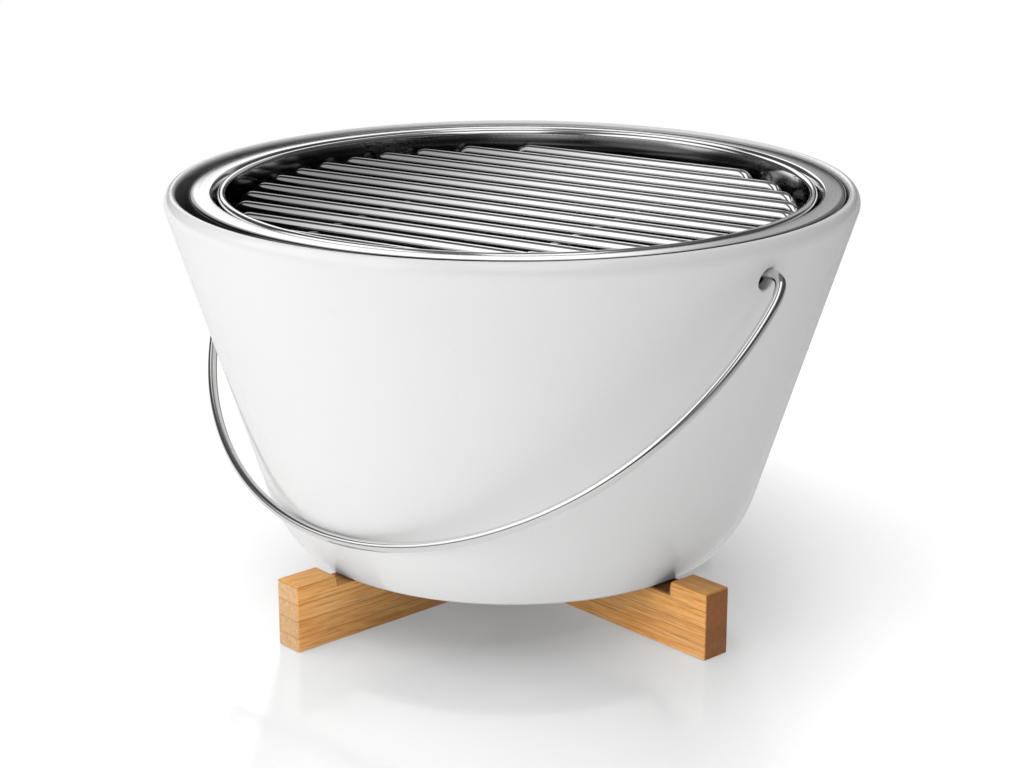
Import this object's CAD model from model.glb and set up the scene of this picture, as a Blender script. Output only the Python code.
"""A small charcoal grill: a flared porcelain bowl with a wire bail handle and a spun steel
liner, ember pan and rod grate, standing on a trivet of two crossed bamboo bars.

The bowl's axis is Z and the trivet stands on z = 0. The handle turns about X and hangs
towards -Y. The steel parts share an axis set slightly off the bowl's.
Shapes are worked out in mm, and meshes, shaders, lights and the camera are in metres.
"""
import math
from contextlib import contextmanager

import bmesh
import bpy
import numpy as np
from mathutils import Matrix, Vector


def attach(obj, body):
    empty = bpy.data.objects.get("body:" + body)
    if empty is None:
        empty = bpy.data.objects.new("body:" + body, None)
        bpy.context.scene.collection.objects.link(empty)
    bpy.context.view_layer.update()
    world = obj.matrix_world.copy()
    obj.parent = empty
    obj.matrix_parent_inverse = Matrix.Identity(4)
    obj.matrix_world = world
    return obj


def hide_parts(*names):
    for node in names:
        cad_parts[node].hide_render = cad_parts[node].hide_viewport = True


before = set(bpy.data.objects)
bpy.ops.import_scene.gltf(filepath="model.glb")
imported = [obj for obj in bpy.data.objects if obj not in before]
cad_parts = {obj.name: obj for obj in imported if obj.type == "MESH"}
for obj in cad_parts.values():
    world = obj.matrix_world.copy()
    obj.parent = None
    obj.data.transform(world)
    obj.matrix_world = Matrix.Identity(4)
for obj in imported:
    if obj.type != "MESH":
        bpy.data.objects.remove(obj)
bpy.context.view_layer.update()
MM = 0.001
rad = math.radians

# ------------------------------------------------------------------ trivet, mm
bar_length = 253.7
bar_height = 29.4
bar_width = 13.9
seat_depth = 5.5
seat_radius = 106.4  # half length of the seat at the bar's top
seat_slope = 1.1  # how far each seat end leans in
trivet_turn = -0.85  # degrees, lower bar from +X
z_foot = bar_height - seat_depth

# ------------------------------------------------------------------ bowl, mm
rim_radius = 150.0
bowl_height = 160.1
flare = rad(17.26)  # wall from vertical
rim_round = 6.7  # outer edge of the rim
lip_round = 1.8  # inner edge of the rim
corner_radius = 60.0  # large rounding above the foot
corner_height = 40.8  # its centre above the foot
bowl_wall = 6.2
floor_thickness = 7.0
foot_recess = 1.5

cos_flare, sin_flare, tan_flare = math.cos(flare), math.sin(flare), math.tan(flare)
z_rim = z_foot + bowl_height
z_floor = z_foot + floor_thickness
rim_centre_r = rim_radius - rim_round
rim_centre_z = z_rim - rim_round


def outer_radius(z):
    """The bowl's outer cone."""
    return (rim_centre_r + rim_round * cos_flare
            - (rim_centre_z - rim_round * sin_flare - z) * tan_flare)


def inner_radius(z):
    """The bowl's inner cone."""
    return outer_radius(z) - bowl_wall / cos_flare


corner_z = z_foot + corner_height
corner_r = outer_radius(corner_z - corner_radius * sin_flare) - corner_radius * cos_flare
inner_corner_radius = corner_radius - bowl_wall
foot_radius = corner_r + math.sqrt(corner_radius**2 - corner_height**2)

# The lip's arc touches the inner wall and the rim's arc from within
rim_to_wall = (rim_centre_r - inner_radius(rim_centre_z)) * cos_flare
lip_rise = math.sqrt((rim_round - lip_round) ** 2 - (lip_round - rim_to_wall) ** 2)
lip_r = rim_centre_r + (lip_round - rim_to_wall) * cos_flare + lip_rise * sin_flare
lip_z = rim_centre_z - (lip_round - rim_to_wall) * sin_flare + lip_rise * cos_flare

# ------------------------------------------------------------------ handle, mm
wire_d = 4.3
hole_d = 9.0
z_hole = z_foot + 142.0
z_pivot = z_hole + hole_d / 2 - wire_d / 2 - 0.15
bail_half_width = 157.5
bail_leg = 15.0
bail_depth = 149.0  # below the legs
bail_side_radius = 144.5
bail_rest = 43.5  # degrees from hanging straight down
bail_side_x = bail_half_width - bail_side_radius
bail_bottom_radius = ((bail_side_x**2 + bail_depth**2 - bail_side_radius**2)
                      / (2 * (bail_depth - bail_side_radius)))
bail_join_angle = math.atan2(bail_bottom_radius - bail_depth, bail_side_x)
washer_inner_x = inner_radius(z_pivot - 7) - 1.9
wire_end_x = washer_inner_x - 2.4

# ------------------------------------------------------------------ steel set, mm
set_shift, set_direction = 2.3, rad(47)
set_x, set_y = set_shift * math.cos(set_direction), set_shift * math.sin(set_direction)
sheet = 1.0

flange_radius = 141.75
flange_inner_radius = 132.0
z_flange = z_rim - 2.5
z_liner = z_flange - 115.0
liner_taper = rad(15)

rod_count, rod_pitch, rod_d = 13, 17.3, 6.0
rod_drop = 5.7  # rod tops below the pan's bead
rod_end_radius = 120.4
rod_direction = rad(15.4)

bead_radius, bead_d = 129.5, 3.7
z_bead = z_flange
z_ember = z_bead - 88.0
z_ledge = z_bead - rod_drop - 9.8
ledge_outer = bead_radius - bead_d - 1.4
ledge_inner = ledge_outer - 8.4
z_rod = z_bead - rod_drop - rod_d / 2

# ------------------------------------------------------------------ view
AZIMUTH = rad(47.0)  # the camera stands towards (sin, -cos) of this


def from_view(x, y, z):
    """From axes with +X to the camera's right and +Y away from it to the object's axes."""
    return Vector((x * math.cos(AZIMUTH) - y * math.sin(AZIMUTH),
                   x * math.sin(AZIMUTH) + y * math.cos(AZIMUTH), z))


# ------------------------------------------------------------------ shader helpers
class Tree:
    """Adds nodes to an emptied node tree. An input takes a socket to link, or a value."""

    def __init__(self, owner, output_kind, **props):
        owner.use_nodes = True
        self.tree = owner.node_tree
        self.tree.nodes.clear()
        self.output = self.add(output_kind, **props)

    def add(self, kind, inputs=None, **props):
        made = self.tree.nodes.new("ShaderNode" + kind)
        for key, value in props.items():
            setattr(made, key, value)
        self.set(made, inputs or {})
        return made

    def set(self, node, inputs):
        for key, value in inputs.items():
            socket = node.inputs[key]
            if isinstance(value, bpy.types.NodeSocket):
                self.tree.links.new(value, socket)
            elif isinstance(value, tuple) and len(socket.default_value) == 4:
                socket.default_value = (*value, 1)
            else:
                socket.default_value = value

    def math(self, operation, first, second=None):
        inputs = {0: first} if second is None else {0: first, 1: second}
        return self.add("Math", inputs, operation=operation).outputs[0]

    def mul(self, first, second):
        return self.math("MULTIPLY", first, second)

    def plus(self, first, second):
        return self.math("ADD", first, second)

    def minus(self, first, second):
        return self.math("SUBTRACT", first, second)

    def ramp(self, factor, stops):
        """stops: (position, RGB or grey)."""
        made = self.add("ValToRGB")
        elements = made.color_ramp.elements
        while len(elements) < len(stops):
            elements.new(0.5)
        for element, (position, colour) in zip(elements, stops):
            element.position = position
            element.color = (*colour, 1) if isinstance(colour, tuple) else (*[colour] * 3, 1)
        self.set(made, {0: factor})
        return made.outputs[0]

    def blend(self, factor, first, second, start=0.3, end=0.7):
        """A ramp of two stops."""
        return self.ramp(factor, [(start, first), (end, second)])

    def step(self, value, start, end, low=0.0, high=1.0):
        """Eases from low to high as value goes from start to end."""
        inputs = {0: value, 1: start, 2: end, 3: low, 4: high}
        return self.add("MapRange", inputs, interpolation_type="SMOOTHSTEP").outputs[0]

    def mix(self, factor, first, second, mode="MIX"):
        return self.add("Mix", data_type="RGBA", blend_type=mode,
                        inputs={0: factor, 6: first, 7: second}).outputs[2]

    def tint(self, colour, by):
        return self.mix(1.0, colour, by, "MULTIPLY")

    def mix_shaders(self, factor, first, second):
        return self.add("MixShader", {0: factor, 1: first, 2: second}).outputs[0]

    def grey(self, value):
        return self.add("CombineColor", {0: value, 1: value, 2: value}).outputs[0]

    def mapping(self, vector, **inputs):
        return self.add("Mapping", {"Vector": vector, **inputs}).outputs[0]

    def coords(self, scale=(1, 1, 1)):
        return self.mapping(self.add("TexCoord").outputs["Object"], Scale=scale)

    def separate(self, vector):
        return self.add("SeparateXYZ", {0: vector}).outputs

    def radius(self, x, y):
        squares = self.plus(self.math("POWER", x, 2.0), self.math("POWER", y, 2.0))
        return self.math("SQRT", squares)

    def dot(self, vector, direction):
        return self.add("VectorMath", {0: vector, 1: direction},
                        operation="DOT_PRODUCT").outputs["Value"]

    def noise(self, vector, scale, detail=2.0, roughness=0.5, distortion=0.0):
        return self.add("TexNoise", {"Vector": vector, "Scale": scale, "Detail": detail,
                                     "Roughness": roughness, "Distortion": distortion}).outputs[0]

    def bump(self, height, strength, distance, under=None):
        """under: a normal to lay this bump over."""
        inputs = {"Strength": strength, "Distance": distance, "Height": height}
        if under is not None:
            inputs["Normal"] = under
        return self.add("Bump", inputs).outputs[0]


def new_material(name):
    material = bpy.data.materials.new(name)
    tree = Tree(material, "OutputMaterial", location=(900, 0))
    surface = tree.add("BsdfPrincipled", location=(600, 0))
    tree.set(tree.output, {0: surface.outputs[0]})
    return material, tree, surface


# ------------------------------------------------------------------ materials
def porcelain_material():
    material, tree, surface = new_material("glazed_porcelain")
    point = tree.coords()
    soft = tree.noise(point, scale=9.0)
    fine = tree.noise(point, scale=900.0)
    colour = tree.blend(soft, (0.716, 0.716, 0.714), (0.730, 0.730, 0.728), start=0.35, end=0.65)
    specks = tree.noise(point, scale=420.0, detail=1.0)
    colour = tree.tint(colour, tree.blend(specks, (0.965, 0.96, 0.95), (1, 1, 1),
                                          start=0.22, end=0.25))
    # The inside wall below the rim is bare and sooted; the offset is constant along a cone
    x, y, z = tree.separate(point)
    radius = tree.radius(x, y)
    offset = tree.minus(tree.mul(z, tan_flare), radius)
    wall_offset = (z_rim * tan_flare - inner_radius(z_rim)) * MM
    inside = tree.step(offset, start=wall_offset - 0.0012, end=wall_offset - 0.0004)
    below_lip = tree.step(z, start=(lip_z + 1.2) * MM, end=(lip_z - 0.8) * MM)
    soot = tree.blend(tree.noise(point, scale=60.0, detail=3.0),
                      (0.10, 0.098, 0.095), (0.17, 0.168, 0.165))
    tree.set(surface, {
        "Base Color": tree.mix(tree.mul(inside, below_lip), colour, soot),
        "Roughness": tree.blend(fine, 0.20, 0.26),
        "IOR": 1.40,
        "Coat Weight": 0.6,
        "Coat Roughness": 0.02,
        "Coat IOR": 1.5,
        "Coat Normal": tree.bump(tree.noise(point, scale=46.0), strength=0.04, distance=0.0005),
    })
    return material


def polished_material(name, base, smoothest, roughest, grain_scale, darker_along=None):
    """darker_along: the steel darkens towards the negative end of this direction."""
    material, tree, surface = new_material(name)
    point = tree.coords()
    clouds = tree.noise(point, scale=24.0, detail=3.0)
    colour = tree.blend(clouds, tuple(channel * 0.965 for channel in base), base)
    if darker_along is not None:
        shade = tree.step(tree.dot(point, darker_along),
                          start=-0.110, end=0.045, low=0.24, high=1.0)
        colour = tree.tint(colour, tree.grey(shade))
    grain = tree.noise(tree.coords(), scale=grain_scale)
    tree.set(surface, {
        "Base Color": colour,
        "Metallic": 1.0,
        "Roughness": tree.blend(grain, smoothest, roughest),
        "Normal": tree.bump(tree.noise(point, scale=60.0), strength=0.02, distance=0.0002),
    })
    return material


def spun_material(name, used_below=None):
    """Faint rings about the steel set's axis. With used_below (m), the inside below that
    height is darker and streaked; without it, the flange's outer edge is dark."""
    material, tree, surface = new_material(name)
    centred = tree.add("VectorMath", operation="SUBTRACT", inputs={
        0: tree.add("TexCoord").outputs["Object"],
        1: (set_x * MM, set_y * MM, 0)}).outputs[0]
    x, y, z = tree.separate(centred)
    radius = tree.radius(x, y)
    spun = tree.add("CombineXYZ", {"X": radius, "Z": z}).outputs[0]
    lines = tree.noise(spun, scale=2600.0)
    wide = tree.noise(spun, scale=300.0)
    smear = tree.noise(centred, scale=16.0)
    colour = tree.blend(smear, (0.78, 0.78, 0.775), (0.82, 0.82, 0.815))
    if used_below is None:
        edge = tree.step(radius, start=(flange_radius - 2.8) * MM, end=(flange_radius - 1.6) * MM)
        colour = tree.mix(edge, colour, (0.10, 0.10, 0.098))
    else:
        low = tree.step(z, start=used_below + 0.001, end=used_below - 0.0015)
        inside = tree.step(radius, start=(bead_radius + 0.5) * MM, end=(bead_radius - 1.0) * MM)
        streaks = tree.blend(wide, 0.05, 0.19)
        colour = tree.mix(tree.mul(low, inside), colour, streaks)
    line_bump = tree.bump(lines, strength=0.10, distance=0.00002)
    tree.set(surface, {
        "Base Color": colour,
        "Metallic": 1.0,
        "Roughness": tree.blend(lines, 0.05, 0.13),
        "Normal": tree.bump(wide, strength=0.12, distance=0.00012, under=line_bump),
    })
    return material


def satin_material():
    material, tree, surface = new_material("satin_steel")
    grain = tree.noise(tree.coords((1, 14, 1)), scale=260.0, detail=4.0, roughness=0.65)
    heat = tree.noise(tree.coords(), scale=20.0, detail=3.0)
    brushed = tree.blend(grain, 0.44, 0.60)
    heated = tree.blend(heat, (0.52, 0.50, 0.47), (0.58, 0.58, 0.59), start=0.35, end=0.65)
    tree.set(surface, {
        "Base Color": tree.mix(0.35, brushed, heated),
        "Metallic": 1.0,
        "Roughness": tree.blend(grain, 0.26, 0.42),
        "Normal": tree.bump(grain, strength=0.12, distance=0.0001),
    })
    return material


def silicone_material():
    material, tree, surface = new_material("silicone")
    fine = tree.noise(tree.coords(), scale=800.0, detail=3.0)
    tree.set(surface, {
        "Base Color": tree.blend(fine, 0.030, 0.045),
        "Roughness": tree.blend(fine, 0.5, 0.68),
        "Normal": tree.bump(fine, strength=0.15, distance=0.0002),
    })
    return material


def bamboo_strips(tree, point, height, seed):
    """Strips stacked in height with a slow wander: the tone of each, and the seams' mask."""
    strip_height = 0.0076
    wander = tree.mul(tree.minus(tree.noise(point, scale=6.0, detail=1.0), 0.5), 0.0016)
    level = tree.plus(tree.plus(height, wander), 0.0012)
    strip = tree.math("DIVIDE", level, strip_height)
    strip_id = tree.math("FLOOR", strip)
    from_middle = tree.math("ABSOLUTE", tree.minus(tree.math("FRACT", strip), 0.5))
    seam = tree.blend(from_middle, 0.0, 1.0, start=0.455, end=0.495)
    key = tree.add("CombineXYZ", {"X": 3.7 + seed * 91, "Z": strip_id}).outputs[0]
    pick = tree.add("TexWhiteNoise", {0: key}, noise_dimensions="3D").outputs[0]
    tone = tree.ramp(pick, [(0.0, (0.92, 0.90, 0.87)), (0.5, (0.99, 0.98, 0.97)),
                            (1.0, (1.04, 1.04, 1.04))])
    return tone, seam


def bamboo_end_grain(tree, point, tone, dark, light):
    """Dark pores in paler tissue, for the cut ends."""
    section = tree.mapping(point, Scale=(0.0, 1.0, 1.0))
    cells = tree.add("TexVoronoi", {"Vector": section, "Scale": 1500.0, "Randomness": 0.9},
                     feature="F1").outputs["Distance"]
    pores = tree.blend(cells, dark, light, start=0.12, end=0.34)
    mottle = tree.noise(section, scale=420.0, detail=3.0)
    pores = tree.tint(pores, tree.blend(mottle, (0.80, 0.76, 0.70), (1.08, 1.05, 1.02)))
    return tree.tint(pores, tone)


def bamboo_material(name, along, seed, end_dark, end_light):
    """Laminated bamboo. along: the bar's direction in degrees from +X."""
    material, tree, surface = new_material(name)
    # x along the bar, y across, z up
    point = tree.mapping(tree.add("TexCoord").outputs["Object"],
                         Rotation=(0, 0, -rad(along)), Location=(seed, 0, 0))
    x, _, z = tree.separate(point)
    tone, seam = bamboo_strips(tree, point, z, seed)

    def fibres(fineness, **noise):
        """Noise drawn out along the bar."""
        return tree.noise(tree.mapping(point, Scale=(1.0, fineness, fineness)), **noise)

    long_fibres = fibres(26.0, scale=46.0, detail=5.0, roughness=0.62, distortion=0.25)
    pale_fibres = fibres(60.0, scale=30.0, detail=4.0, roughness=0.7)
    dashes = fibres(34.0, scale=95.0)
    base = tree.ramp(long_fibres, [(0.28, (0.60, 0.245, 0.058)), (0.45, (0.82, 0.375, 0.100)),
                                   (0.60, (0.93, 0.465, 0.140)), (0.78, (0.98, 0.58, 0.215))])
    colour = tree.tint(base, tone)
    dark = tree.blend(dashes, 0.0, 0.60, start=0.56, end=0.64)
    colour = tree.mix(dark, colour, (0.44, 0.185, 0.048))
    pale = tree.blend(pale_fibres, 0.0, 0.55, start=0.53, end=0.62)
    colour = tree.mix(pale, colour, (0.86, 0.62, 0.34))

    # Cut ends face along the bar
    normal = tree.add("VectorTransform", {0: tree.add("NewGeometry").outputs["True Normal"]},
                      vector_type="NORMAL", convert_from="WORLD", convert_to="OBJECT").outputs[0]
    facing = tree.dot(normal, (math.cos(rad(along)), math.sin(rad(along)), 0))
    cut_end = tree.blend(tree.math("ABSOLUTE", facing), 0.0, 1.0, start=0.75, end=0.92)
    pores = bamboo_end_grain(tree, point, tone, end_dark, end_light)
    colour = tree.mix(tree.mul(cut_end, 0.85), colour, pores)
    colour = tree.mix(tree.mul(seam, 0.55), colour, (0.30, 0.13, 0.04))

    # The seat under the bowl's foot is darker
    in_seat = tree.step(tree.math("ABSOLUTE", x),
                        start=(seat_radius + 0.6) * MM, end=(seat_radius - 0.3) * MM)
    under_foot = tree.step(z, start=(z_foot - 1.4) * MM, end=(z_foot - 0.2) * MM)
    shadow = tree.mul(tree.mul(in_seat, under_foot), 0.85)
    colour = tree.mix(shadow, colour, (0.13, 0.045, 0.015))

    # Bounced light and reflections see a muted wood
    rays = tree.add("LightPath").outputs
    muted = tree.add("HueSaturation", {"Saturation": 0.35, "Value": 0.8, "Color": colour})
    colour = tree.mix(rays["Is Diffuse Ray"], colour, muted.outputs[0])
    colour = tree.mix(rays["Is Glossy Ray"], colour, (0.58, 0.57, 0.555))

    relief = tree.minus(long_fibres, tree.mul(dark, 0.6))
    relief = tree.minus(relief, tree.mul(seam, 0.5))
    tree.set(surface, {
        "Base Color": colour,
        "Roughness": tree.blend(long_fibres, 0.52, 0.38),
        "Specular IOR Level": 0.25,
        "Normal": tree.bump(relief, strength=0.35, distance=0.00025),
    })
    return material


PORCELAIN = porcelain_material()
LINER_STEEL = spun_material("spun_polished_steel")
PAN_STEEL = spun_material("used_spun_steel", used_below=(z_bead - 3.0) * MM)
ROD_STEEL = polished_material("rod_steel", base=(0.82, 0.82, 0.815), smoothest=0.045,
                              roughest=0.09, grain_scale=700.0,
                              darker_along=from_view(0.85, -0.53, 0))
WIRE_STEEL = polished_material("wire_steel", base=(0.80, 0.80, 0.795), smoothest=0.05,
                               roughest=0.10, grain_scale=900.0)
SATIN = satin_material()
SILICONE = silicone_material()
BAMBOO_LOWER = bamboo_material("bamboo_lower", along=trivet_turn, seed=0.0,
                               end_dark=(0.10, 0.028, 0.007), end_light=(0.245, 0.075, 0.020))
BAMBOO_UPPER = bamboo_material("bamboo_upper", along=trivet_turn + 90, seed=0.37,
                               end_dark=(0.36, 0.195, 0.085), end_light=(0.64, 0.44, 0.245))


# ------------------------------------------------------------------ mesh helpers
def add_object(name, data):
    obj = bpy.data.objects.new(name, data)
    bpy.context.scene.collection.objects.link(obj)
    return obj


def mesh_object(name, verts, faces, material=None, smooth_deg=35, shift=(0, 0, 0)):
    """verts and shift in mm."""
    mesh = bpy.data.meshes.new(name)
    mesh.from_pydata([((x + shift[0]) * MM, (y + shift[1]) * MM, (z + shift[2]) * MM)
                      for x, y, z in verts], [], faces)
    mesh.validate()
    obj = add_object(name, mesh)
    if material:
        mesh.materials.append(material)
    smooth(obj, smooth_deg)
    return obj


def smooth(obj, degrees):
    """Smooth shading, with edges sharper than this angle kept crisp."""
    for polygon in obj.data.polygons:
        polygon.use_smooth = True
    obj.data.set_sharp_from_angle(angle=rad(degrees))


@contextmanager
def edited(obj):
    """The object's mesh as a bmesh, written back afterwards."""
    bm = bmesh.new()
    bm.from_mesh(obj.data)
    yield bm
    bm.to_mesh(obj.data)
    bm.free()


def fix_normals(obj):
    with edited(obj) as bm:
        bmesh.ops.recalc_face_normals(bm, faces=bm.faces)


def circle(radius, sides):
    angles = [2 * math.pi * k / sides for k in range(sides)]
    return [(radius * math.cos(angle), radius * math.sin(angle)) for angle in angles]


def lathe(name, profile, segments, material, shift=(0, 0, 0), smooth_deg=35):
    """Turns a closed loop of (r, z) about Z; points with r == 0 sit on the axis."""
    verts, rings = [], []
    for r, z in profile:
        first = len(verts)
        verts.extend([(0, 0, z)] if r < 1e-6 else [(x, y, z) for x, y in circle(r, segments)])
        rings.append(range(first, len(verts)))
    faces = []
    for ring, after in zip(rings, rings[1:] + rings[:1]):
        if len(ring) == 1 and len(after) == 1:
            continue
        for i in range(segments):
            j = (i + 1) % segments
            corners = (ring[i % len(ring)], ring[j % len(ring)],
                       after[j % len(after)], after[i % len(after)])
            faces.append(tuple(dict.fromkeys(corners)))  # a triangle at the axis
    obj = mesh_object(name, verts, faces, material, smooth_deg, shift)
    fix_normals(obj)
    smooth(obj, smooth_deg)
    return obj


def arc(centre_x, centre_z, radius, start, end, steps):
    angles = [start + (end - start) * i / steps for i in range(steps + 1)]
    return [(centre_x + radius * math.cos(a), centre_z + radius * math.sin(a)) for a in angles]


def between(start, end, steps):
    """The points between two ends, without the ends."""
    return [(start[0] + (end[0] - start[0]) * i / steps,
             start[1] + (end[1] - start[1]) * i / steps) for i in range(1, steps)]


def rounded(points, steps):
    """Rounds the corners of an open outline of (r, z, fillet)."""
    outline = []
    for i, (x, z, fillet) in enumerate(points):
        if fillet <= 0 or i in (0, len(points) - 1):
            outline.append((x, z))
            continue
        corner = np.array([x, z])
        back = np.array(points[i - 1][:2]) - corner
        ahead = np.array(points[i + 1][:2]) - corner
        back_length, ahead_length = np.linalg.norm(back), np.linalg.norm(ahead)
        back, ahead = back / back_length, ahead / ahead_length
        angle = math.acos(max(-1, min(1, float(back @ ahead))))
        # The fillet stays within half of either side
        trim = min(fillet / math.tan(angle / 2), back_length * 0.49, ahead_length * 0.49)
        radius = trim * math.tan(angle / 2)
        bisector = (back + ahead) / np.linalg.norm(back + ahead)
        centre = corner + bisector * (radius / math.sin(angle / 2))
        from_start, from_end = corner + back * trim - centre, corner + ahead * trim - centre
        start = math.atan2(from_start[1], from_start[0])
        sweep = math.atan2(from_end[1], from_end[0]) - start
        sweep = (sweep + math.pi) % (2 * math.pi) - math.pi
        outline += arc(centre[0], centre[1], radius, start, start + sweep, steps)
    return outline


def subdivided(outline):
    """Adds points along the long runs of a closed outline, so that cuts stay clean."""
    dense = []
    for start, end in zip(outline, outline[1:] + outline[:1]):
        dense.append(start)
        length = math.hypot(end[0] - start[0], end[1] - start[1])
        on_axis = start[0] < 1e-6 and end[0] < 1e-6
        if length > 9 and not on_axis:
            dense += between(start, end, int(length // 6) + 1)
    return dense


def add_skin(verts, faces, rings):
    """Appends rings of points, joined each to the next and capped at both ends."""
    first, sides = len(verts), len(rings[0])
    for ring in rings:
        verts.extend(ring)
    last = len(verts) - sides
    for start in range(first, last, sides):
        for k in range(sides):
            j = (k + 1) % sides
            faces.append((start + k, start + j, start + sides + j, start + sides + k))
    faces.append(tuple(reversed(range(first, first + sides))))
    faces.append(tuple(range(last, last + sides)))


def cut(obj, verts, faces, shift=(0, 0, 0)):
    """Cuts a closed shape (mm) out of the object."""
    cutter = mesh_object("cutter", verts, faces, shift=shift)
    fix_normals(cutter)
    modifier = obj.modifiers.new("cut", "BOOLEAN")
    modifier.operation = "DIFFERENCE"
    modifier.solver = "EXACT"
    modifier.object = cutter
    depsgraph = bpy.context.evaluated_depsgraph_get()
    mesh = bpy.data.meshes.new_from_object(obj.evaluated_get(depsgraph))
    obj.modifiers.remove(modifier)
    uncut, obj.data = obj.data, mesh
    mesh.name = obj.name
    bpy.data.meshes.remove(uncut)
    cutter_mesh = cutter.data
    bpy.data.objects.remove(cutter)
    bpy.data.meshes.remove(cutter_mesh)
    with edited(obj) as bm:
        bmesh.ops.remove_doubles(bm, verts=bm.verts, dist=1e-6)
        bmesh.ops.dissolve_degenerate(bm, dist=1e-7, edges=bm.edges)


def cut_side_holes(obj, count, start_deg, start_r, length, z, radius):
    """Cuts round holes through the side of a steel part, evenly spaced about its axis."""
    verts, faces = [], []
    for i in range(count):
        angle = rad(start_deg + i * 360 / count)
        cos_a, sin_a = math.cos(angle), math.sin(angle)
        add_skin(verts, faces, [
            [(x * cos_a - y * sin_a, x * sin_a + y * cos_a, z + rise)
             for y, rise in circle(radius, 32)]
            for x in (start_r, start_r + length)])
    cut(obj, verts, faces, (set_x, set_y, 0))


def add_tube(verts, faces, path, normal, radius, chamfer):
    """Appends round wire along a planar path (mm). normal is the plane's normal."""
    # (distance from the end, loss of radius)
    easing = [(0, chamfer), (chamfer * 0.35, chamfer * 0.35), (chamfer, 0)]
    last = len(path) - 1
    normal = normal.normalized()
    rings = []
    for i, point in enumerate(path):
        tangent = (path[min(i + 1, last)] - path[max(i - 1, 0)]).normalized()
        side = tangent.cross(normal).normalized()
        steps = [(0, 0)]
        if i == 0:
            steps = easing
        elif i == last:
            steps = [(-distance, loss) for distance, loss in reversed(easing)]
        for along, loss in steps:
            centre = point + tangent * along
            rings.append([centre + (side * u + normal * v) * (radius - loss)
                          for u, v in circle(1, 32)])
    add_skin(verts, faces, rings)


def wire_object(name, verts, faces, material):
    obj = mesh_object(name, verts, faces, material, smooth_deg=40)
    fix_normals(obj)
    smooth(obj, 40)
    return obj


def register(obj, node, body):
    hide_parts(node)
    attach(obj, body)


# ------------------------------------------------------------------ porcelain bowl
def bowl_profile():
    recess_z = z_foot + foot_recess
    land_inner = foot_radius - 12.3
    # Underside: recess, then the foot's ring with eased edges
    profile = [(r, recess_z) for r in (0, 20, 40, 60, 76)]
    profile += rounded([(76, recess_z, 0), (land_inner - 1.2, recess_z, 0.7),
                        (land_inner + 0.6, z_foot, 0.6), (foot_radius - 2, z_foot, 0)],
                       steps=4)[1:-1]
    profile += [(foot_radius - 6, z_foot), (foot_radius - 1.3, z_foot),
                (foot_radius - 0.35, z_foot + 0.25)]
    # Large corner and outer wall
    corner_start = -math.asin(corner_height / corner_radius) + rad(1.2)
    profile += arc(corner_r, corner_z, corner_radius, corner_start, -flare, 26)
    wall_top = (rim_centre_r + rim_round * cos_flare, rim_centre_z - rim_round * sin_flare)
    profile += between(profile[-1], wall_top, 44)
    # Rim
    contact = math.atan2(lip_z - rim_centre_z, lip_r - rim_centre_r)
    profile += arc(rim_centre_r, rim_centre_z, rim_round, -flare, contact, 26)
    profile += arc(lip_r, lip_z, lip_round, contact, math.pi - flare, 10)[1:]
    # Inside wall, corner and floor
    wall_foot = (corner_r + inner_corner_radius * cos_flare,
                 corner_z - inner_corner_radius * sin_flare)
    profile += between(profile[-1], wall_foot, 40) + [wall_foot]
    corner_end = -math.asin((corner_z - z_floor) / inner_corner_radius)
    profile += arc(corner_r, corner_z, inner_corner_radius, -flare, corner_end, 20)[1:]
    profile += [(r, z_floor) for r in (74, 50, 25, 0)]
    # Drawn in by a hair
    return [(r * 0.9999, z_foot + (z - z_foot) * 0.99996) for r, z in profile]


def cut_handle_hole(bowl, side):
    """A hole through the wall, eased at both mouths. side: 1 at +X, -1 at -X."""
    wall_x, thickness = outer_radius(z_hole), bowl_wall / cos_flare
    easing = 1.3
    # (offset from the outer surface, hole radius)
    mouth = [(-easing + easing * math.sin(t), hole_d / 2 + easing * (1 - math.cos(t)))
             for t in np.radians([0, 15, 30, 45, 60, 70, 80])]
    last_offset, last_radius = mouth[-1]
    clear_radius = last_radius + (0.6 - last_offset) * math.tan(rad(80))
    outer = mouth + [(0.6, clear_radius), (0.6 + 4, clear_radius)]
    inner = [(-thickness - offset, radius) for offset, radius in outer]
    rings = []
    for offset, radius in inner[::-1] + outer:
        # Each ring leans with the wall and follows its curve
        rings.append([(side * (wall_x + offset + rise * tan_flare - y * y / (2 * wall_x)),
                       side * y, z_hole + rise) for y, rise in circle(radius, 64)])
    verts, faces = [], []
    add_skin(verts, faces, rings)
    cut(bowl, verts, faces)


def build_bowl():
    bowl = lathe("porcelain_bowl", bowl_profile(), 360, PORCELAIN, smooth_deg=50)
    for side in (1, -1):
        cut_handle_hole(bowl, side)
    smooth(bowl, 38)
    register(bowl, "outer_bowl", "bowl")


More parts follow.
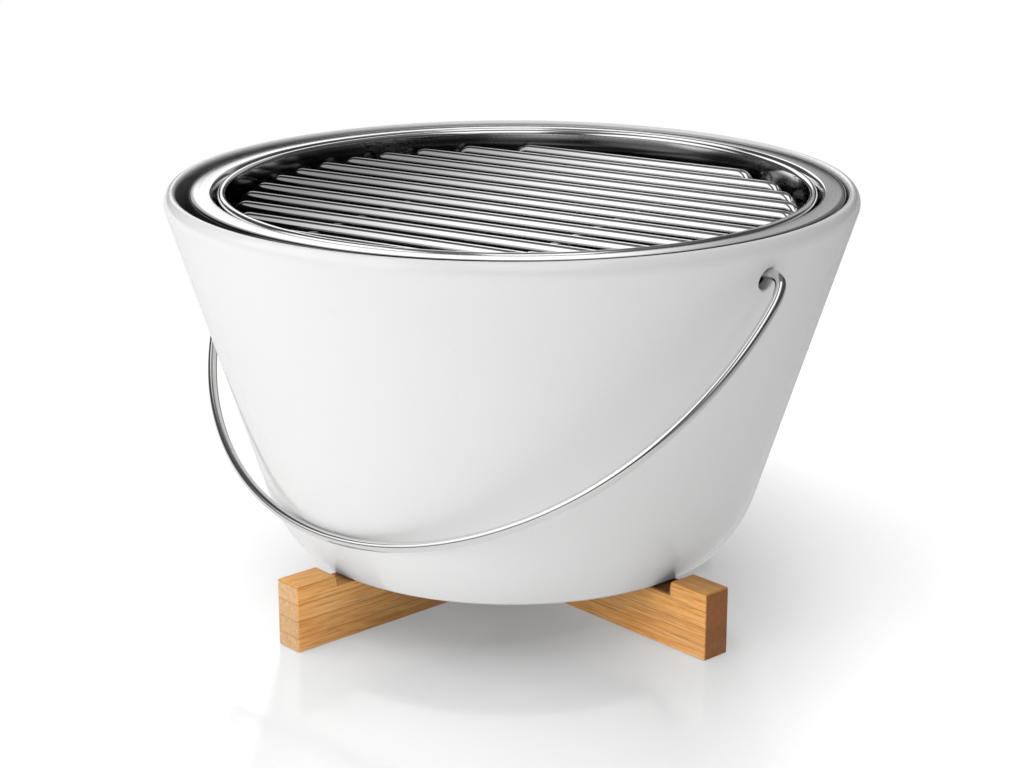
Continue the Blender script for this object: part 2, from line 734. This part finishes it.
# ------------------------------------------------------------------ handle
def build_handle():
    # Hanging straight down with the pivot at the origin, as (x, z).
    # The bend starts tight and opens gradually into the leg.
    tight, open_, turn = 7.6, 26.0, rad(20)
    open_x = bail_half_width - open_
    bend_x = open_x + (open_ - tight) * math.cos(turn)
    right = [(wire_end_x, 0.0), (wire_end_x + 4, 0), (bend_x - 4, 0.0)]
    right += arc(bend_x, -tight, tight, rad(90), turn, 14)
    right += arc(open_x, -tight - (open_ - tight) * math.sin(turn), open_, turn, 0, 10)[1:]
    right += arc(bail_side_x, -bail_leg, bail_side_radius, 0, -bail_join_angle, 60)
    bottom = arc(0, -bail_leg - bail_depth + bail_bottom_radius, bail_bottom_radius,
                 -bail_join_angle, -math.pi + bail_join_angle, 120)[1:-1]
    left = [(-x, z) for x, z in reversed(right)]
    swing = Matrix.Rotation(-rad(bail_rest), 4, "X")
    path = [swing @ Vector((x, 0.0, z)) + Vector((0, 0, z_pivot)) for x, z in right + bottom + left]
    verts, faces = [], []
    add_tube(verts, faces, path, swing @ Vector((0, 1, 0)), wire_d / 2, chamfer=0.4)
    handle = wire_object("handle_wire", verts, faces, WIRE_STEEL)
    register(handle, "bail_handle", "handle")


# ------------------------------------------------------------------ steel set
def liner_radius(z):
    return flange_inner_radius - 0.2 - (z_flange - 1.5 - z) * math.tan(liner_taper)


def build_liner():
    floor_r = liner_radius(z_liner) - 14 * math.tan(rad(45) - liner_taper / 2)
    shoulder_z = z_liner + 14 * 0.45
    shoulder_r = liner_radius(shoulder_z)
    outline = [  # (r, z, fillet)
        (0, z_liner, 0),
        # outer side
        (floor_r, z_liner, 6),
        (shoulder_r, shoulder_z, 10),
        (liner_radius(z_flange - 2.4), z_flange - 2.4, 0.0),
        (flange_inner_radius + 0.25, z_flange - sheet, 0.4),
        # turned-down edge of the flange
        (flange_radius - 1.1, z_flange - sheet, 0.6),
        (flange_radius - 0.85, z_flange - 2.9, 0.25),
        (flange_radius - 0.05, z_flange - 2.9, 0.25),
        (flange_radius, z_flange, 1.45),
        # inner side
        (flange_inner_radius + 0.3, z_flange, 1.2),
        (liner_radius(z_flange - 3.4) - sheet * 1.04, z_flange - 3.4, 0.0),
        (shoulder_r - sheet * 1.04, shoulder_z + sheet * 0.27, 9),
        (floor_r - 0.4, z_liner + sheet, 5),
        (0, z_liner + sheet, 0),
    ]
    liner = lathe("steel_liner", subdivided(rounded(outline, steps=8)), 300, LINER_STEEL,
                  (set_x, set_y, 0), smooth_deg=30)
    cut_side_holes(liner, count=12, start_deg=15, start_r=85, length=40,
                   z=z_liner + 26, radius=4.5)
    # Three small holes in the floor
    verts, faces = [], []
    for angle in (90, 210, 330):
        hole_x, hole_y = 62 * math.cos(rad(angle)), 62 * math.sin(rad(angle))
        add_skin(verts, faces, [[(hole_x + x, hole_y + y, z) for x, y in circle(2.2, 32)]
                                for z in (z_liner - 3, z_liner + 4)])
    cut(liner, verts, faces, (set_x, set_y, 0))
    smooth(liner, 32)
    register(liner, "fire_liner", "liner")


def build_ember_pan():
    bead = bead_d / 2
    bead_centre_r, bead_centre_z = bead_radius - bead, z_bead - bead
    floor_r = 92.0

    def wall_radius(z):
        return ledge_inner - (z_ledge - z) * 0.37

    under = [  # (r, z, fillet)
        (0, z_ember, 0),
        (floor_r - 8, z_ember, 5),
        (floor_r, z_ember + 3.2, 3),
        (wall_radius(z_ledge - sheet) + sheet * 1.07, z_ledge - sheet, 1.6),
        (ledge_outer + sheet, z_ledge - sheet, 1.8),
        (bead_centre_r - 0.15, bead_centre_z - bead * 0.86, 0),
    ]
    inside = [
        (bead_centre_r - bead + 0.03, bead_centre_z - 0.3, 0),
        (ledge_outer, z_ledge, 1.2),
        (wall_radius(z_ledge), z_ledge, 1.2),
        (floor_r - 1, z_ember + 3.6, 3),
        (floor_r - 8.3, z_ember + sheet, 4),
        (0, z_ember + sheet, 0),
    ]
    outline = rounded(under, steps=6)
    outline += arc(bead_centre_r, bead_centre_z, bead, rad(-92), rad(172), 30)
    outline += rounded(inside, steps=6)
    pan = lathe("ember_pan", subdivided(outline), 300, PAN_STEEL, (set_x, set_y, 0),
                smooth_deg=30)
    cut_side_holes(pan, count=18, start_deg=10, start_r=80, length=30,
                   z=z_ember + 9, radius=3.25)
    smooth(pan, 32)
    register(pan, "ember_bowl", "ember")


def build_rods():
    """Parallel rods, each bent down at both ends to stand on the pan's ledge."""
    bend = 4.5
    turn = Matrix.Rotation(rod_direction, 4, "Z")
    verts, faces = [], []
    outermost = (rod_count - 1) // 2
    for i in range(-outermost, outermost + 1):
        y = i * rod_pitch
        half = math.sqrt(rod_end_radius**2 - y * y)
        right = [(half, z_ledge), (half, z_rod - bend - 0.8)]
        right += arc(half - bend, z_rod - bend, bend, 0, rad(90), 10)
        right += [(half - bend - 3.0, z_rod)]
        left = [(-x, z) for x, z in reversed(right)]
        profile = right + between(right[-1], left[0], 10) + left
        path = [turn @ Vector((x, y, z)) + Vector((set_x, set_y, 0)) for x, z in profile]
        add_tube(verts, faces, path, turn @ Vector((0, 1, 0)), rod_d / 2, chamfer=0.5)
    rods = wire_object("grate_rod_set", verts, faces, ROD_STEEL)
    register(rods, "grate_rods", "cooking_grate")


# ------------------------------------------------------------------ trivet
def build_bar(name, node, body, turn, material, lap_on_top):
    """A bar with a seat in its top and a half lap at its middle, on top or underneath."""
    half_length, half_lap, lap_z = bar_length / 2, (bar_width + 0.3) / 2, z_foot / 2
    seat_end = seat_radius - seat_slope
    top_lap, under_lap = [], []
    if lap_on_top:
        top_lap = [(half_lap, z_foot), (half_lap, lap_z), (-half_lap, lap_z), (-half_lap, z_foot)]
    else:
        under_z = lap_z + 0.05
        under_lap = [(-half_lap, 0), (-half_lap, under_z), (half_lap, under_z), (half_lap, 0)]
    outline = [(-half_length, 0), *under_lap, (half_length, 0), (half_length, bar_height),
               (seat_radius, bar_height), (seat_end, z_foot), *top_lap, (-seat_end, z_foot),
               (-seat_radius, bar_height), (-half_length, bar_height)]

    def is_exposed(edge):
        """Not in the lap or the seat's corners, nor flat on the seat or the base."""
        ends = [vert.co / MM for vert in edge.verts]
        return not (all(abs(end.x) <= half_lap + 0.1 for end in ends)
                    or all(abs(abs(end.x) - seat_end) < 0.01 for end in ends)
                    or all(abs(end.z - z_foot) < 0.01 for end in ends)
                    or all(end.z < 0.01 for end in ends))

    bm = bmesh.new()
    side = bm.faces.new([bm.verts.new((x * MM, -bar_width / 2 * MM, z * MM)) for x, z in outline])
    extruded = bmesh.ops.extrude_face_region(bm, geom=[side])["geom"]
    bmesh.ops.translate(bm, verts=[v for v in extruded if isinstance(v, bmesh.types.BMVert)],
                        vec=(0, bar_width * MM, 0))
    bmesh.ops.recalc_face_normals(bm, faces=bm.faces)
    bmesh.ops.bevel(bm, geom=[edge for edge in bm.edges if is_exposed(edge)],
                    offset=0.95 * MM, offset_type="OFFSET", segments=4, profile=0.5,
                    affect="EDGES", clamp_overlap=True)
    bm.normal_update()
    mesh = bpy.data.meshes.new(name)
    bm.to_mesh(mesh)
    bm.free()
    bar = add_object(name, mesh)
    mesh.transform(Matrix.Rotation(rad(turn), 4, "Z"))

    # A fine easing on the edges that are still sharp
    ease = bar.modifiers.new("ease", "BEVEL")
    ease.width = 0.4 * MM
    ease.segments = 3
    ease.limit_method = "ANGLE"
    ease.angle_limit = rad(50)
    depsgraph = bpy.context.evaluated_depsgraph_get()
    eased = bpy.data.meshes.new_from_object(bar.evaluated_get(depsgraph))
    bar.modifiers.clear()
    bar.data = eased
    eased.name = name
    eased.materials.append(material)
    smooth(bar, 30)
    register(bar, node, body)


build_bowl()
build_handle()
build_liner()
build_ember_pan()
build_rods()
build_bar("trivet_lower_wood", "trivet_bar_lower", "trivet_base", trivet_turn,
          BAMBOO_LOWER, lap_on_top=True)
build_bar("trivet_upper_wood", "trivet_bar_upper", "trivet_top", trivet_turn + 90,
          BAMBOO_UPPER, lap_on_top=False)

# CAD pieces kept as they are, with the detailed materials
kept_pieces = [
    (SILICONE, ("handle_washer_right", "handle_washer_left", "foot_pads")),
    (WIRE_STEEL, ("handle_cap_right", "handle_cap_left")),
    (SATIN, ("support_lugs", "shield_spacers", "heat_shield", "liner_feet", "foot_screws",
             "charcoal_grate", "charcoal_grate_feet")),
    (ROD_STEEL, ("grate_cross_bars",)),
]
for material, nodes in kept_pieces:
    for node in nodes:
        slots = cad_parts[node].data.materials
        slots.clear()
        slots.append(material)


# ------------------------------------------------------------------ camera, floor, lights, world
def aim(obj, location, target):
    """Places the object and points its -Z at the target."""
    obj.location = location
    obj.rotation_euler = (target - obj.location).to_track_quat("-Z", "Y").to_euler()


def build_camera():
    data = bpy.data.cameras.new("camera")
    camera = add_object("camera", data)
    data.sensor_fit = "HORIZONTAL"
    data.sensor_width = 36.0
    data.lens = 78.784805
    data.clip_start, data.clip_end = 0.05, 50
    aim(camera, from_view(0, -0.9565, 0.38205), Vector((0, 0, 0.09035)))
    bpy.context.scene.camera = camera


def floor_material():
    """A floor that each kind of ray sees differently."""
    material, tree, surface = new_material("pale_floor")
    clouds = tree.noise(tree.coords(), scale=30.0)
    tree.set(surface, {"Base Color": tree.blend(clouds, 0.90, 0.915),
                       "Roughness": 0.16, "IOR": 1.38})
    position = tree.add("TexCoord").outputs["Object"]
    rays = tree.add("LightPath").outputs
    rightward = tree.dot(position, from_view(1, 0, 0))

    # Camera rays: bright paper, glossier at grazing angles, that runs out to white far away
    gain = tree.step(rightward, start=0.05, end=0.17, low=0.82, high=1.40)
    diffuse = tree.add("BsdfDiffuse", {"Color": tree.grey(gain)})
    glow = tree.add("Emission", {"Strength": 0.27})
    paper = tree.add("AddShader", {0: diffuse.outputs[0], 1: glow.outputs[0]})
    gloss = tree.add("BsdfGlossy", {"Roughness": 0.12})
    grazing = tree.step(tree.add("LayerWeight").outputs["Facing"],
                        start=0.20, end=0.52, low=0.05, high=0.30)
    seen = tree.mix_shaders(grazing, paper.outputs[0], gloss.outputs[0])
    distance = tree.add("VectorMath", {0: position}, operation="LENGTH").outputs["Value"]
    far_away = tree.step(distance, start=0.42, end=0.80)
    white = tree.add("Emission")

    # Diffuse rays: mostly a matte fill, slightly brighter on the left
    bounce = tree.step(rightward, start=-0.22, end=-0.06, low=1.28, high=1.23)
    fill = tree.add("BsdfDiffuse", {"Color": tree.grey(bounce)})
    matte = tree.mix_shaders(0.88, surface.outputs[0], fill.outputs[0])

    # Glossy rays: a plain card, darker to the right
    card_light = tree.step(rightward, start=-0.1, end=0.45, low=0.85, high=0.36)
    card = tree.add("Emission", {"Strength": card_light})

    camera_ray = rays["Is Camera Ray"]
    shader = tree.mix_shaders(camera_ray, matte, seen)
    shader = tree.mix_shaders(tree.mul(far_away, camera_ray), shader, white.outputs[0])
    shader = tree.mix_shaders(rays["Is Glossy Ray"], shader, card.outputs[0])
    tree.set(tree.output, {0: shader})
    return material


def build_floor():
    mesh = bpy.data.meshes.new("floor")
    half = 6.0
    mesh.from_pydata([(-half, -half, 0), (half, -half, 0), (half, half, 0), (-half, half, 0)],
                     [], [(0, 1, 2, 3)])
    floor = add_object("floor", mesh)
    floor.location = (0, 0, -0.0002)
    mesh.materials.append(floor_material())


def build_world():
    """A studio in reflections, plain white to the camera, and soft ambient light."""
    world = bpy.data.worlds.new("studio")
    bpy.context.scene.world = world
    tree = Tree(world, "OutputWorld")
    step, mul, plus = tree.step, tree.mul, tree.plus
    rays = tree.add("LightPath").outputs
    # x to the camera's right, y away from it, z up
    direction = tree.mapping(tree.add("TexCoord").outputs["Generated"], Rotation=(0, 0, -AZIMUTH))
    x, y, z = tree.separate(direction)

    def band(axis, rise, fall):
        """Rises over one (start, end) range and falls over the other."""
        return mul(step(axis, *rise), step(axis, *fall))

    # Backdrop: whiter on the left, greyer on the right
    backdrop = mul(step(y, start=0.30, end=0.42),
                   band(z, rise=(0.183, 0.200), fall=(0.63, 0.54)))
    backdrop = mul(backdrop, band(x, rise=(-0.50, -0.32), fall=(0.62, 0.5)))
    backdrop_light = tree.minus(1.30, mul(step(x, start=0.02, end=0.11), 0.92))
    # Soft box over the camera
    over = mul(step(y, start=0.04, end=-0.04),
               plus(mul(step(z, start=0.42, end=0.62), 0.86),
                    mul(step(z, start=0.08, end=0.16), 0.14)))
    over = mul(over, band(x, rise=(-0.20, -0.10), fall=(0.42, 0.30)))
    # Tall soft box on the left
    left = mul(step(x, start=-0.38, end=-0.52),
               mul(step(y, start=0.32, end=0.16), step(z, start=0.05, end=0.50)))
    left = mul(left, step(y, start=-0.85, end=-0.70))

    # A dim room, a little lighter overhead, and the three panels at their brightness
    studio = plus(plus(0.070, mul(step(z, start=0.72, end=0.86), 0.10)),
                  mul(backdrop, backdrop_light))
    studio = plus(studio, mul(over, 1.12))
    studio = plus(studio, mul(left, 1.35))
    # Ambient: brighter from the left and from overhead
    ambient = plus(plus(0.105, mul(step(x, start=0.6, end=-0.9), 0.46)),
                   mul(step(z, start=0.60, end=0.84), 0.86))

    def background(colour):
        return tree.add("Background", {"Color": colour}).outputs[0]

    shader = tree.mix_shaders(rays["Is Glossy Ray"], background(ambient), background(studio))
    shader = tree.mix_shaders(rays["Is Camera Ray"], shader, background((1, 1, 1)))
    tree.set(tree.output, {0: shader})


def area_light(name, location, target, width, height, power):
    """location and target in the view's axes, metres. The panel shows in no reflection."""
    data = bpy.data.lights.new(name, "AREA")
    data.shape = "RECTANGLE"
    data.size, data.size_y = width, height
    data.energy = power
    light = add_object(name, data)
    aim(light, from_view(*location), from_view(*target))
    light.visible_glossy = False
    light.visible_camera = False


build_camera()
build_floor()
build_world()
area_light("key_left", (-1.27, -1.20, 0.48), (0, 0, 0.08), width=1.2, height=0.9, power=10)
area_light("right_high", (0.85, -0.75, 1.05), (0, 0, 0.12), width=0.14, height=0.14, power=1.4)
area_light("top", (-0.5, -0.1, 1.6), (0, 0, 0.1), width=0.9, height=0.9, power=5)

view = bpy.context.scene.view_settings
view.view_transform = "Standard"
view.look = "None"
view.exposure = 0.0
view.gamma = 1.0
